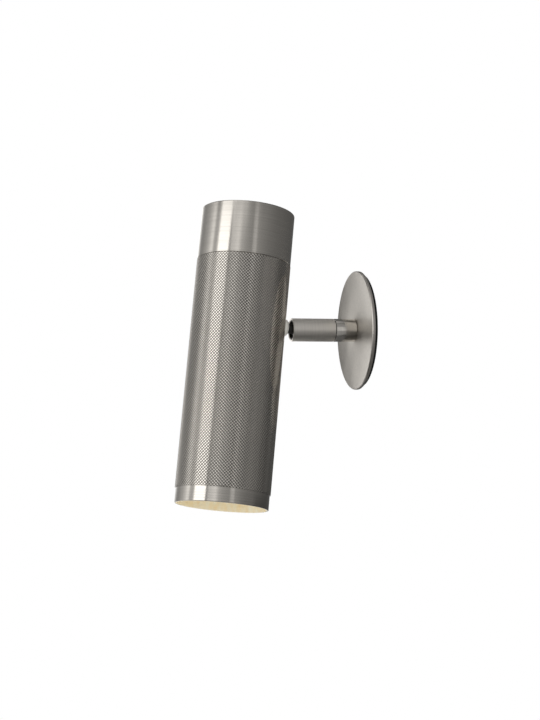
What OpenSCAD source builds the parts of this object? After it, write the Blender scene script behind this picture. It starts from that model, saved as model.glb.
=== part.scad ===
// Tube wall light on a short arm: the arm turns on its stub and ends in a ball joint.
// The wall is the plane Y = 0, the arm stands out along -Y, and +Z is up.

/* [Tube] */
// Diameter over the knurl's crests
tube_d = 60; // [58:0.5:72]
// Wall of the knurled sleeve
tube_wall = 1.6; // [1.4:0.1:1.8]
// Length of the knurled sleeve
sleeve_l = 146.9; // [140:0.1:200]
// Length of the plain cap that shows above the knurl
cap_l = 33.5; // [28:0.5:60]
// How far the cap's surface lies inside the knurl's crests
cap_inset = 0.2; // [0.1:0.05:0.4]
// Thickness of the cap's closed top
cap_top_t = 2.5; // [1.5:0.1:5]
// Length of the plain ring that shows below the knurl
ring_l = 9.4; // [8:0.1:20]
// How far the ring's surface lies inside the knurl's crests
ring_inset = 0.55; // [0.4:0.05:0.7]
// Length of the spigots that screw into the sleeve
spigot_l = 8; // [5:0.5:12]
// Height of the tube's top above the ball joint
top_above_ball = 71.5; // [66:0.5:85]
// Small chamfer on the tube's edges
edge_chamfer = 0.4; // [0.2:0.1:0.6]

/* [Arm] */
// Diameter of the stub and the arm sleeve
arm_d = 14.8; // [14.6:0.1:16]
// Length of the stub that stands on the disc
stub_l = 13.9; // [12:0.1:25]
// Thickness of the dark washer seen between stub and sleeve
seam_t = 0.5; // [0.4:0.1:1]
// Length of the arm sleeve
arm_l = 28; // [28:0.5:60]
// Depth of the ball's centre inside the arm's end
ball_depth = 5.5; // [5.4:0.1:6]
// Diameter of the ball
ball_d = 10.8; // [10.6:0.1:11]
// Gap between the ball and its seats
ball_clear = 0.05; // [0.03:0.01:0.08]
// Diameter of the neck beside the ball
neck_d = 6.6; // [6.4:0.1:6.6]
// Diameter of the stem's thread
stem_d = 7; // [6.8:0.1:7.4]
// Distance from the ball's centre to the tube's axis
ball_to_axis = 40.2; // [40:0.1:44]

/* [Collar] */
// Diameter of the collar between neck and tube
collar_d = 10.4; // [9.6:0.1:10.6]
// Length of the collar at its middle
collar_l = 2.3; // [1.8:0.1:2.4]
// Chamfer on the collar's free end
collar_chamfer = 1; // [0.8:0.1:1.1]

/* [Pose] */
// Swing of the tube's bottom to the right-hand side, seen from the room
swivel_rest = 8.1; // [-60:0.1:60]
// Lean of the tube's bottom away from the wall
tilt_rest = 7.2; // [-15:0.1:15]

/* [Wall disc] */
// Diameter of the cover disc
disc_d = 76.5; // [76:0.5:100]
// Thickness of the cover disc
disc_t = 2.1; // [1.5:0.1:4]
// Chamfer on the disc's front edge
disc_chamfer = 0.5; // [0.2:0.1:0.8]

/* [Mounting plate] */
// Diameter of the black plate
plate_d = 72.6; // [72:0.1:76]
// Thickness of the black plate
plate_t = 2; // [2:0.1:4]
// Distance between the two screw slots
slot_spacing = 60; // [56:0.5:60]
// Width of a screw slot
slot_w = 4.4; // [4:0.1:5]
// Length of a screw slot, end to end
slot_l = 8; // [7:0.5:8]
// Width of a slot's countersink at the front
sink_w = 7; // [6.5:0.1:7.4]
// Depth of the countersink
sink_depth = 1.3; // [1:0.1:1.4]
// Diameter of the recess for the plate's nut
recess_d = 20; // [19:0.5:24]
// Depth of that recess
recess_depth = 1; // [0.6:0.1:1.2]

/* [Nipple] */
// Diameter of the nipple's thread
nipple_d = 10; // [9.6:0.1:10]
// Bore of the nipple
nipple_bore = 6; // [5.8:0.1:6.4]
// How far the nipple stands out behind the wall face
nipple_back = 3; // [2.5:0.1:4]
// Depth of the nipple's thread in the stub
nipple_grip = 7.7; // [6:0.1:8]
// Corner diameter of the nut welded to the plate's back
plate_nut_d = 16.2; // [15:0.1:18]
// Thickness of that nut
plate_nut_t = 3; // [2:0.1:3]

/* [Swivel] */
// Diameter of the hollow stud
stud_d = 6.8; // [6.6:0.1:7]
// Bore of the hollow stud
stud_bore = 5; // [4.8:0.1:5.2]
// Depth of the stud in the stub
stud_grip = 5.8; // [4:0.1:6]
// Wall of the bush on the stud
bush_wall = 0.5; // [0.4:0.05:0.6]
// Thickness of the web in the arm sleeve that turns on the bush
web_t = 6; // [5:0.1:7]
// Bore of the arm sleeve
arm_bore = 12.8; // [12.7:0.1:13]
// Diameter of the stop pin
stop_pin_d = 1.3; // [1.1:0.1:1.4]
// Depth of the groove that the stop pin runs in
groove_depth = 1.6; // [1.4:0.1:2]
// Swing that the stop pin allows to each side
swing_limit = 165; // [150:1:168]
// Thickness of the friction washer under the ring nut
friction_t = 0.6; // [0.4:0.1:0.8]
// Thickness of the slotted ring nut
ring_nut_t = 2.5; // [2:0.1:2.8]
// Diameter of the ring nut
ring_nut_d = 11.8; // [11:0.1:12]
// Thickness of the washer between ring nut and springs
thrust_t = 0.7; // [0.6:0.1:0.9]

/* [Ball joint] */
// Thickness of one disc spring's sheet
spring_t = 0.5; // [0.4:0.05:0.5]
// Height of the cone of one disc spring
spring_rise = 0.4; // [0.3:0.05:0.4]
// Diameter of the trunnion pins
trunnion_d = 1.8; // [1.6:0.1:2]
// Length of the retaining ring at the arm's end
retainer_l = 4; // [3.8:0.1:4.2]
// Wall of the retaining ring at its mouth
retainer_lip = 0.4; // [0.3:0.05:0.45]
// Width of the two spanner slots in the retaining ring
spanner_w = 1.4; // [1:0.1:1.8]
// Depth of the spanner slots
spanner_depth = 0.9; // [0.6:0.1:1]

/* [Lamp] */
// Depth of the lamp's face above the bottom rim
lamp_recess = 31; // [26:0.5:40]
// Diameter of the lamp's face
lamp_d = 50; // [49.5:0.1:50.7]
// Height of the lamp's body above its face
lamp_h = 46.5; // [44:0.5:50]
// Diameter of the lamp's base
lamp_base_d = 23; // [20:0.5:26]
// Distance between the lamp's two pins
pin_pitch = 10; // [9.5:0.1:10.5]
// Number of cooling grooves in the lamp's body
lamp_fins = 12; // [8:1:18]
// Height of the lampholder
holder_h = 16; // [15:0.5:18]
// Diameter of the lampholder
holder_d = 30; // [28:0.5:31]
// Distance between the lampholder's screws
holder_screw_pitch = 19; // [18:0.5:20]

/* [Glare cone] */
// Wall of the cone
cone_wall = 0.7; // [0.5:0.1:0.8]
// Wall of the bottom ring at its rim
rim_wall = 0.7; // [0.5:0.1:0.9]
// Gap between the cone and the ring around it
cone_clear = 0.1; // [0.05:0.05:0.2]
// Gap between the cone's top and the lamp's rim
cone_lamp_gap = 0.5; // [0.3:0.1:0.8]
// Wall of the ring's spigot where it meets the ring
spigot_wall = 1; // [0.8:0.1:1.1]

/* [Bracket] */
// Thickness of the bracket's sheet
bracket_t = 1.2; // [1:0.1:1.5]
// Width of the bracket's upright leg
bracket_w = 18; // [16:0.5:19]
// Height of the upright leg above the stem
bracket_top = 10; // [9:0.5:14]
// Thickness of the saddle spacer at its middle
saddle_t = 2.2; // [2:0.1:3]
// Diameter of the saddle spacer
saddle_d = 16; // [14:0.5:17]
// Diameter of the washer and corner diameter of the nut on the stem
stem_nut_d = 15; // [13:0.5:15]
// Thickness of the washer on the stem
stem_washer_t = 1; // [0.8:0.1:1.6]
// Thickness of the nut on the stem
stem_nut_t = 3.5; // [3:0.1:5]

/* [Wiring] */
// Diameter of the sheathed lead
lead_d = 4.4; // [4:0.1:4.4]
// Diameter of one core
core_d = 1.6; // [1.4:0.1:1.7]
// Bend radius of the lead behind the stem
lead_bend = 9.4; // [9:0.1:12]
// Height of the lead's cut end below the stem
lead_drop = 15; // [13.5:0.5:16]

/* [Hidden] */
$fn = 96;

steel = "#a9a49c";
polished = "#b9b5ae";
black_steel = "#26231f";
black_paint = "#0c0c0c";
gold = "#e2c58d";
nylon = "#3a3a3c";
brass_colour = "#c8a45c";
ceramic = "#efece4";

// Overrun of cuts
over = 0.5;
// Gap of a thread or a shank in its hole
thread_gap = 0.05;
// Gap of a piece that passes through another
pass_gap = 0.1;
// Gap between the seats of a running fit
run_gap = 0.05;

// Places along the arm, as distances out from the wall
plate_front = plate_t;
disc_front = plate_front + disc_t;
seam_start = disc_front + stub_l;
sleeve_start = seam_start + seam_t;
arm_end = sleeve_start + arm_l;
ball_out = arm_end - ball_depth;
nipple_end = disc_front + nipple_grip;
stub_bore_end_gap = 0.1;
stud_start = seam_start - stud_grip;
web_end = sleeve_start + web_t;
ring_nut_start = web_end + friction_t;
ring_nut_end = ring_nut_start + ring_nut_t;
stud_past_nut = 0.5;
stud_end = ring_nut_end + stud_past_nut;
springs_start = ring_nut_end + thrust_t;

// Arm radii
arm_r = arm_d / 2;
arm_bore_r = arm_bore / 2;
stud_r = stud_d / 2;
bush_in_r = stud_r + run_gap;
bush_out_r = bush_in_r + bush_wall;
web_bore_r = bush_out_r + run_gap;
bush_flange_r = arm_r - seam_t;
web_spigot_wall = 0.7;
web_spigot_r = web_bore_r + web_spigot_wall;
stop_r = (web_spigot_r + arm_bore_r) / 2;
stop_pin_grip = 3;
stop_pin_end_gap = 0.3;
stop_pin_half = asin(stop_pin_d / 2 / stop_r);
stop_block_half = 180 - swing_limit - stop_pin_half;

// Springs, seat and ball
spring_count = 3;
spring_side_gap = 0.3;
spring_pitch = spring_t + spring_rise;
seat_start = springs_start + spring_count * spring_pitch;
ball_r = ball_d / 2;
ball_seat_r = ball_r + ball_clear;
seat_past_centre = 1;
seat_side_gap = 0.1;
seat_bore_gap = 0.4;
retainer_side_gap = 0.05;
retainer_gap = 0.1;
retainer_start = ball_out + seat_past_centre + retainer_gap;
trunnion_inner = 2.9;
trunnion_outer_gap = 0.15;
rim_chamfer = 0.35;
neck_r = neck_d / 2;
stem_r = stem_d / 2;
lead_r = lead_d / 2;
ball_bore_r = lead_r + 2 * pass_gap;

// Tube radii and heights, from the ball's centre
tube_r = tube_d / 2;
tube_bore_r = tube_r - tube_wall;
cap_r = tube_r - cap_inset;
ring_r = tube_r - ring_inset;
spigot_r = tube_bore_r - thread_gap;
cap_wall = 1.5;
sleeve_top = top_above_ball - cap_l;
sleeve_bottom = sleeve_top - sleeve_l;
rim_z = sleeve_bottom - ring_l;
tube_out = ball_to_axis - tube_r;
wall_inner = tube_out + tube_wall;
collar_start = tube_out - collar_l;

// Stack of pieces on the stem inside the tube, as distances out from the ball
leg_start = wall_inner + saddle_t;
leg_end = leg_start + bracket_t;
washer_end = leg_end + stem_washer_t;
stem_nut_end = washer_end + stem_nut_t;
stem_past_nut = 1.8;
stem_end = stem_nut_end + stem_past_nut;

// Lamp, lampholder and bracket heights
lens_z = rim_z + lamp_recess;
lamp_top = lens_z + lamp_h;
holder_top = lamp_top + holder_h;
shelf_top = holder_top + bracket_t;
shelf_r = holder_d / 2 - rim_chamfer;
bend_r = 3;
lamp_r = lamp_d / 2;
lamp_base_r = lamp_base_d / 2;

// Glare cone
cone_top_z = lens_z + cone_lamp_gap;
cone_rim_r = ring_r - rim_wall - cone_clear;
cone_top_r = lamp_r + cone_lamp_gap + cone_wall;
cone_throat_r = spigot_r - spigot_wall - cone_clear;
function between(a, b, share) = a + (b - a) * share;
function cone_out(z) = z < sleeve_bottom
    ? between(cone_rim_r, cone_throat_r, (z - rim_z) / ring_l)
    : between(cone_throat_r, cone_top_r, (z - sleeve_bottom) / (cone_top_z - sleeve_bottom));
snap_wire_r = 0.6;
snap_bite = 0.3;
snap_gap = 0.1;
snap_open = 30;
snap_z = sleeve_bottom + spigot_l + snap_wire_r + snap_gap;

// Small pieces
m3_r = 1.5;
m3_head_r = 2.8;
m3_head_t = 1.8;
m3_nut_r = 3.1;
m3_nut_t = 2.4;
pin_stem_r = 1.25;
pin_head_r = 2.4;
pin_head_t = 2;
pin_l = 7;
contact_t = 0.6;
core_r = core_d / 2;
contact_x = 1.2;
function contact_out(side) = ball_to_axis - side * pin_pitch / 2;
core_hole_gap = 0.4;
core_depth = 4;
core_ring = 1;
lug_t = 0.8;
lug_r = 3;
lug_x = -4.5;
lug_barrel_r = 1.3;
lug_barrel_l = 5;
lead_down_out = stem_end + lead_bend + pass_gap;
tie_t = 0.9;
tie_w = 2.4;
tie_head = 3;
tie_above_end = 0.5;
tie_top = -lead_drop + tie_above_end + tie_w;
tab_w = 4;
tab_x = -lead_r - pass_gap - bracket_t;
tab_top = tie_top + tie_t;
head_lead_back = 4.4;

// Frames

// Local Z runs out from the wall, local Y stays up
module outward() rotate([90, 0, 0]) children();

// Turned with the arm sleeve
module arm_frame() rotate([0, -swivel_rest, 0]) children();

// Origin at the ball's centre, Z along the tube
module head_frame() arm_frame() translate([0, -ball_out, 0]) rotate([-tilt_rest, 0, 0]) children();

// Head pieces on the stem: local Z runs from the ball's centre towards the tube
module on_stem() head_frame() outward() children();

// Head pieces on the tube's axis
module on_tube() head_frame() translate([0, -ball_to_axis, 0]) children();

module ring(r_out, r_in, from, to) translate([0, 0, from]) difference() {
    cylinder(r = r_out, h = to - from);
    translate([0, 0, -over]) cylinder(r = r_in, h = to - from + 2 * over);
}

// Swept tube for leads: rings carried along the path with no twist

function bezier(a, b, c, d, t) =
    pow(1 - t, 3) * a + 3 * t * pow(1 - t, 2) * b + 3 * t * t * (1 - t) * c + pow(t, 3) * d;
function unit(v) = v / norm(v);
function tangents(p) = [
    for (i = [0 : len(p) - 1]) unit(p[min(i + 1, len(p) - 1)] - p[max(i - 1, 0)])
];
function square_to(v, t) = unit(v - (v * t) * t);
function carried(ts, i, v) =
    i == len(ts) ? [] : let (n = square_to(v, ts[i])) concat([n], carried(ts, i + 1, n));
module swept(path, r, sides, start_side) {
    ts = tangents(path);
    ns = carried(ts, 0, start_side);
    rings = len(path);
    points = [
        for (i = [0 : rings - 1], k = [0 : sides - 1])
            path[i] + r * (cos(360 * k / sides) * ns[i] + sin(360 * k / sides) * cross(ts[i], ns[i]))
    ];
    sides_faces = [
        for (i = [0 : rings - 2], k = [0 : sides - 1])
            let (a = i * sides + k, b = i * sides + (k + 1) % sides)
            each [[a, a + sides, b], [b, a + sides, b + sides]]
    ];
    start_cap = [[for (k = [0 : sides - 1]) k]];
    end_cap = [[for (k = [sides - 1 : -1 : 0]) (rings - 1) * sides + k]];
    polyhedron(points, concat(sides_faces, start_cap, end_cap));
}

// Wall pieces

module screw_slot() {
    run = (slot_l - slot_w) / 2;
    for (side = [-1, 1]) translate([side * run, 0, 0]) {
        translate([0, 0, -over]) cylinder(d = slot_w, h = plate_t + 2 * over);
        translate([0, 0, plate_t - sink_depth]) cylinder(d1 = slot_w, d2 = sink_w, h = sink_depth);
        translate([0, 0, plate_t]) cylinder(d = sink_w, h = over);
    }
    translate([-run, -slot_w / 2, -over]) cube([2 * run, slot_w, plate_t + 2 * over]);
    translate([-run, 0, 0]) rotate([90, 0, 90]) linear_extrude(2 * run) polygon([
        [-slot_w / 2, plate_t - sink_depth], [slot_w / 2, plate_t - sink_depth],
        [sink_w / 2, plate_t], [sink_w / 2, plate_t + over],
        [-sink_w / 2, plate_t + over], [-sink_w / 2, plate_t]
    ]);
}

module base_plate() color(black_paint) outward() difference() {
    cylinder(d = plate_d, h = plate_t);
    translate([0, 0, -over]) cylinder(d = recess_d, h = recess_depth + over);
    translate([0, 0, -over]) cylinder(d = nipple_d + 2 * pass_gap, h = plate_t + 2 * over);
    for (side = [-1, 1]) translate([side * slot_spacing / 2, 0, 0]) screw_slot();
}

module wall_disc() color(steel) outward() rotate_extrude() polygon([
    [nipple_d / 2 + pass_gap, plate_front], [disc_d / 2, plate_front],
    [disc_d / 2, disc_front - disc_chamfer], [disc_d / 2 - disc_chamfer, disc_front],
    [nipple_d / 2 + pass_gap, disc_front]
]);

module centre_nipple() color(brass_colour) outward()
    ring(nipple_d / 2, nipple_bore / 2, -nipple_back, nipple_end);

module plate_nut() color(brass_colour) outward() difference() {
    translate([0, 0, recess_depth - plate_nut_t]) cylinder(d = plate_nut_d, h = plate_nut_t, $fn = 6);
    translate([0, 0, recess_depth - plate_nut_t - over])
        cylinder(r = nipple_d / 2 + thread_gap, h = plate_nut_t + 2 * over);
}

bush_flange_t = 0.8;
bush_reach = 6;
module cable_bush() color(nylon) outward() {
    flange_back = -nipple_back - bush_flange_t;
    rotate_extrude() polygon([
        [lead_r + thread_gap, flange_back], [nipple_d / 2 - edge_chamfer, flange_back],
        [nipple_d / 2, flange_back + edge_chamfer], [nipple_d / 2, -nipple_back],
        [nipple_bore / 2 - thread_gap, -nipple_back],
        [nipple_bore / 2 - thread_gap, -nipple_back + bush_reach],
        [lead_r + thread_gap, -nipple_back + bush_reach]
    ]);
}

module arm_stub() color(polished) outward() difference() {
    rotate_extrude() polygon([
        [0, disc_front], [arm_r - edge_chamfer, disc_front], [arm_r, disc_front + edge_chamfer],
        [arm_r, seam_start], [0, seam_start]
    ]);
    translate([0, 0, disc_front - over])
        cylinder(r = nipple_d / 2 + thread_gap, h = nipple_grip + over + stub_bore_end_gap);
    translate([0, 0, stud_start]) cylinder(r = stud_r + thread_gap, h = stud_grip + over);
    cylinder(r = stud_bore / 2, h = seam_start);
    translate([0, stop_r, seam_start - stop_pin_grip])
        cylinder(r = stop_pin_d / 2 + thread_gap, h = stop_pin_grip + over);
}

module swivel_stud() color(brass_colour) outward()
    ring(stud_r, stud_bore / 2, stud_start + pass_gap, stud_end);

module swivel_bush() color(nylon) outward() difference() {
    union() {
        ring(bush_flange_r, bush_in_r, seam_start, sleeve_start);
        ring(bush_out_r, bush_in_r, seam_start, web_end - pass_gap);
    }
    translate([0, stop_r, seam_start - over]) cylinder(r = stop_pin_d / 2 + pass_gap, h = seam_t + 2 * over);
}

module stop_pin() color(polished) outward()
    translate([0, stop_r, seam_start - stop_pin_grip])
        cylinder(d = stop_pin_d, h = stop_pin_grip + seam_t + groove_depth - stop_pin_end_gap);

ring_nut_slot_w = 1.6;
ring_nut_slot_depth = 1.2;
module swivel_ring_nut() color(brass_colour) outward() difference() {
    ring(ring_nut_d / 2, stud_r + thread_gap, ring_nut_start, ring_nut_end);
    for (turn = [0 : 90 : 270]) rotate(turn)
        translate([ring_nut_d / 2 - ring_nut_slot_depth, -ring_nut_slot_w / 2, ring_nut_start - over])
            cube([ring_nut_slot_depth + over, ring_nut_slot_w, ring_nut_t + 2 * over]);
}

lead_end_gap = 0.6;
module arm_lead() color(nylon) outward() {
    from = -nipple_back - bush_flange_t;
    translate([0, 0, from]) cylinder(r = lead_r, h = ball_out - ball_r - lead_end_gap - from);
}

// Arm pieces

module arm_sleeve() color(steel) arm_frame() outward() difference() {
    rotate_extrude() polygon([
        [web_bore_r, sleeve_start], [arm_r, sleeve_start],
        [arm_r, arm_end - edge_chamfer / 2], [arm_r - edge_chamfer / 2, arm_end],
        [arm_bore_r + rim_chamfer, arm_end], [arm_bore_r, arm_end - rim_chamfer],
        [arm_bore_r, web_end], [web_bore_r, web_end]
    ]);
    difference() {
        ring(arm_bore_r, web_spigot_r, sleeve_start - over, sleeve_start + groove_depth);
        rotate(-90 - stop_block_half) rotate_extrude(angle = 2 * stop_block_half) polygon([
            [web_bore_r, sleeve_start - over], [arm_r, sleeve_start - over],
            [arm_r, web_end], [web_bore_r, web_end]
        ]);
    }
}

module friction_washer() color(brass_colour) arm_frame() outward()
    ring(ring_nut_d / 2, bush_out_r + pass_gap, web_end, ring_nut_start);

module thrust_washer() color(polished) arm_frame() outward()
    ring(arm_bore_r - seat_side_gap, stud_r + pass_gap, ring_nut_end, springs_start);

// Disc springs stacked with their cones turned alternately
module disc_springs() color(polished) arm_frame() outward()
    for (i = [0 : spring_count - 1]) translate([0, 0, springs_start + i * spring_pitch]) {
        low_in = i % 2 == 0 ? spring_rise : 0;
        low_out = spring_rise - low_in;
        rotate_extrude() polygon([
            [stud_r - pass_gap, low_in], [arm_bore_r - spring_side_gap, low_out],
            [arm_bore_r - spring_side_gap, low_out + spring_t], [stud_r - pass_gap, low_in + spring_t]
        ]);
    }

module ball_seat() color(nylon) arm_frame() outward() difference() {
    ring(arm_bore_r - seat_side_gap, lead_r + seat_bore_gap, seat_start, ball_out + seat_past_centre);
    translate([0, 0, ball_out]) sphere(r = ball_seat_r);
    translate([0, 0, ball_out]) cylinder(r = ball_seat_r, h = seat_past_centre + over);
    for (side = [0, 180]) translate([0, 0, ball_out]) rotate(side) {
        translate([0, -trunnion_d / 2 - pass_gap / 2, 0])
            cube([arm_r, trunnion_d + pass_gap, seat_past_centre + over]);
        rotate([0, 90, 0]) cylinder(r = trunnion_d / 2 + run_gap, h = arm_r);
    }
}

module ball_retainer() color(black_steel) arm_frame() outward() difference() {
    translate([0, 0, retainer_start]) cylinder(r = arm_bore_r - retainer_side_gap, h = retainer_l);
    translate([0, 0, ball_out]) sphere(r = ball_seat_r);
    mouth_r = arm_bore_r - retainer_side_gap - retainer_lip;
    throat_r = ball_seat_r - retainer_lip - pass_gap;
    throat_out = ball_out + sqrt(ball_seat_r * ball_seat_r - throat_r * throat_r);
    retainer_end = retainer_start + retainer_l;
    translate([0, 0, throat_out]) cylinder(r1 = throat_r, r2 = mouth_r, h = retainer_end - throat_out);
    translate([0, 0, retainer_end]) cylinder(r = mouth_r, h = over);
    translate([0, 0, ball_out]) cylinder(r = throat_r, h = throat_out - ball_out + over);
    for (side = [-1, 1]) translate([side * arm_bore_r, 0, retainer_end])
        cube([2 * spanner_w, spanner_w, 2 * spanner_depth], center = true);
}

// Head pieces on the stem

module ball_stem() color(black_steel) on_stem() difference() {
    union() {
        sphere(r = ball_r);
        cylinder(r = neck_r, h = collar_start + pass_gap);
        translate([0, 0, collar_start]) cylinder(r = stem_r, h = stem_end - collar_start);
    }
    translate([0, 0, -ball_r - over]) cylinder(r = ball_bore_r, h = ball_r + stem_end + 2 * over);
    for (side = [0, 180]) rotate(side) rotate([0, 90, 0]) translate([0, 0, trunnion_inner])
        cylinder(r = trunnion_d / 2 + thread_gap, h = ball_r);
}

module trunnion_pins() color(polished) on_stem()
    for (side = [0, 180]) rotate(side) rotate([0, 90, 0]) translate([0, 0, trunnion_inner])
        cylinder(d = trunnion_d, h = arm_bore_r - trunnion_outer_gap - trunnion_inner);

module stem_collar() color(polished) on_stem() difference() {
    rotate_extrude() polygon([
        [stem_r + thread_gap, collar_start], [collar_d / 2 - collar_chamfer, collar_start],
        [collar_d / 2, collar_start + collar_chamfer], [collar_d / 2, tube_out + collar_l],
        [stem_r + thread_gap, tube_out + collar_l]
    ]);
    translate([0, 0, ball_to_axis]) rotate([90, 0, 0])
        cylinder(r = tube_r + thread_gap, h = 2 * collar_d, center = true, $fn = 192);
}

module saddle_spacer() color(nylon) on_stem() intersection() {
    ring(saddle_d / 2, stem_r + pass_gap, tube_out, leg_start);
    translate([0, 0, ball_to_axis]) rotate([90, 0, 0])
        cylinder(r = tube_bore_r - thread_gap, h = 2 * saddle_d, center = true, $fn = 192);
}

// The bracket's upright leg hangs on the stem, and its round shelf carries the lampholder
module holder_bracket() color(polished) on_stem() difference() {
    union() {
        translate([-bracket_w / 2, holder_top + bend_r, leg_start])
            cube([bracket_w, bracket_top - holder_top - bend_r, bracket_t]);
        translate([-bracket_w / 2, holder_top + bend_r, leg_start + bend_r])
            rotate([0, 90, 0]) linear_extrude(bracket_w) intersection() {
                difference() {
                    circle(r = bend_r);
                    circle(r = bend_r - bracket_t);
                }
                translate([0, -bend_r]) square(bend_r);
            }
        translate([-bracket_w / 2, holder_top, leg_start + bend_r])
            cube([bracket_w, bracket_t, ball_to_axis - leg_start - bend_r]);
        translate([0, shelf_top, ball_to_axis]) rotate([90, 0, 0]) cylinder(r = shelf_r, h = bracket_t);
        translate([tab_x, holder_top, lead_down_out - tab_w / 2])
            cube([bracket_t, tab_top - holder_top, tab_w]);
    }
    translate([0, 0, leg_start - over]) cylinder(r = stem_r + pass_gap, h = bracket_t + 2 * over);
    translate([lug_x, -lead_drop, leg_start - over])
        cylinder(r = m3_r + thread_gap, h = bracket_t + 2 * over);
    for (side = [-1, 1]) {
        translate([side * contact_x, shelf_top + over, contact_out(side)]) rotate([90, 0, 0])
            cylinder(r = core_r + core_hole_gap, h = bracket_t + 2 * over);
        translate([side * holder_screw_pitch / 2, shelf_top + over, ball_to_axis]) rotate([90, 0, 0])
            cylinder(r = m3_r + pass_gap, h = bracket_t + 2 * over);
    }
}

module stem_washer() color(polished) on_stem()
    ring(stem_nut_d / 2, stem_r + pass_gap, leg_end, washer_end);

module stem_nut() color(brass_colour) on_stem() difference() {
    translate([0, 0, washer_end]) cylinder(d = stem_nut_d, h = stem_nut_t, $fn = 6);
    translate([0, 0, washer_end - over]) cylinder(r = stem_r + thread_gap, h = stem_nut_t + 2 * over);
}

// Tube

module knurled_sleeve() color(steel) on_tube() difference() {
    rotate_extrude($fn = 192) polygon([
        [tube_bore_r, sleeve_bottom], [tube_r - edge_chamfer, sleeve_bottom],
        [tube_r, sleeve_bottom + edge_chamfer], [tube_r, sleeve_top - edge_chamfer],
        [tube_r - edge_chamfer, sleeve_top], [tube_bore_r, sleeve_top]
    ]);
    translate([0, tube_bore_r - tube_wall, 0]) rotate([-90, 0, 0])
        cylinder(r = stem_r + pass_gap, h = 3 * tube_wall);
}

module top_cap() color(steel) on_tube() rotate_extrude($fn = 192) {
    cap_bore_r = spigot_r - cap_wall;
    polygon([
        [0, top_above_ball - cap_top_t], [cap_bore_r, top_above_ball - cap_top_t],
        [cap_bore_r, sleeve_top - spigot_l], [spigot_r, sleeve_top - spigot_l],
        [spigot_r, sleeve_top], [cap_r - edge_chamfer, sleeve_top],
        [cap_r, sleeve_top + edge_chamfer], [cap_r, top_above_ball - edge_chamfer],
        [cap_r - edge_chamfer, top_above_ball], [0, top_above_ball]
    ]);
}

module bottom_ring() color(steel) on_tube() rotate_extrude($fn = 192) {
    spigot_top = sleeve_bottom + spigot_l;
    polygon([
        [cone_out(rim_z) + cone_clear, rim_z], [ring_r - edge_chamfer / 2, rim_z],
        [ring_r, rim_z + edge_chamfer / 2], [ring_r, sleeve_bottom], [spigot_r, sleeve_bottom],
        [spigot_r, spigot_top], [cone_out(spigot_top) + cone_clear, spigot_top],
        [cone_throat_r + cone_clear, sleeve_bottom]
    ]);
}

module glare_cone() color(gold) on_tube() difference() {
    rotate_extrude($fn = 192) polygon([
        [cone_rim_r - cone_wall, rim_z], [cone_rim_r, rim_z], [cone_throat_r, sleeve_bottom],
        [cone_top_r, cone_top_z], [cone_top_r - cone_wall, cone_top_z],
        [cone_throat_r - cone_wall, sleeve_bottom]
    ]);
    translate([0, 0, snap_z]) rotate_extrude($fn = 96)
        translate([cone_out(snap_z) - snap_bite + snap_wire_r, 0])
            circle(r = snap_wire_r + run_gap, $fn = 32);
}

module cone_snap_ring() color(polished) on_tube()
    translate([0, 0, snap_z]) rotate(90 + snap_open / 2) rotate_extrude(angle = 360 - snap_open, $fn = 96)
        translate([cone_out(snap_z) - snap_bite + snap_wire_r, 0]) circle(r = snap_wire_r, $fn = 32);

// Lamp and lampholder

screw_head_sink = m3_head_t + thread_gap + edge_chamfer;
pin_hole_r = pin_head_r + 3 * pass_gap;
chamber_top = pin_l + contact_t;
lock_lip = pin_l - pin_head_t - pass_gap;
lock_turn = 36;

// Arc round the lamp's axis that gives way to a turned pin of radius r
module pin_arc(r, from, to) {
    half = r + pass_gap;
    past = asin(half / (pin_pitch / 2));
    rotate(90 - lock_turn) rotate_extrude(angle = lock_turn + past)
        translate([pin_pitch / 2 - half, from]) square([2 * half, to - from]);
}

// Round hole for a pin's head, and the slot that the pin is turned along
module pin_way() {
    pin_arc(pin_stem_r, -over, pin_l);
    pin_arc(pin_head_r, lock_lip, chamber_top);
    rotate(-lock_turn) translate([0, pin_pitch / 2, -over]) cylinder(r = pin_hole_r, h = chamber_top + over);
}

module lamp_holder() color(ceramic) on_tube() difference() {
    rotate_extrude() polygon([
        [0, lamp_top], [holder_d / 2 - edge_chamfer, lamp_top], [holder_d / 2, lamp_top + edge_chamfer],
        [holder_d / 2, holder_top - edge_chamfer], [holder_d / 2 - edge_chamfer, holder_top], [0, holder_top]
    ]);
    for (side = [-1, 1]) {
        translate([side * holder_screw_pitch / 2, 0, lamp_top - over]) {
            cylinder(r = m3_r + pass_gap, h = holder_h + 2 * over);
            cylinder(r = m3_head_r + 2 * pass_gap, h = screw_head_sink + over);
        }
        translate([0, 0, lamp_top]) rotate(90 - side * 90) pin_way();
        translate([side * contact_x, side * pin_pitch / 2, lamp_top + pin_l])
            cylinder(r = core_r + pass_gap, h = holder_h);
    }
}

// A brass disc on each pin's head, with a post up to the end of its core
module pin_contacts() color(brass_colour) on_tube() for (side = [-1, 1])
    translate([0, side * pin_pitch / 2, lamp_top + pin_l]) {
        cylinder(r = pin_head_r, h = contact_t);
        translate([side * contact_x, 0, 0]) cylinder(r = core_r, h = holder_h - pin_l - core_depth);
    }

holder_screw_l = holder_h - screw_head_sink + m3_head_t + bracket_t + m3_nut_t + m3_r;
module holder_screws() color(polished) on_tube()
    for (side = [-1, 1])
        translate([side * holder_screw_pitch / 2, 0, lamp_top + screw_head_sink - m3_head_t]) {
        difference() {
            cylinder(r = m3_head_r, h = m3_head_t);
            cube([2 * m3_head_r + over, m3_r / 2, m3_head_t], center = true);
        }
        cylinder(r = m3_r, h = holder_screw_l);
    }

module holder_nuts() color(polished) on_tube()
    for (side = [-1, 1]) translate([side * holder_screw_pitch / 2, 0, shelf_top]) difference() {
        cylinder(r = m3_nut_r, h = m3_nut_t, $fn = 6);
        translate([0, 0, -over]) cylinder(r = m3_r + thread_gap, h = m3_nut_t + 2 * over);
    }

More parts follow.
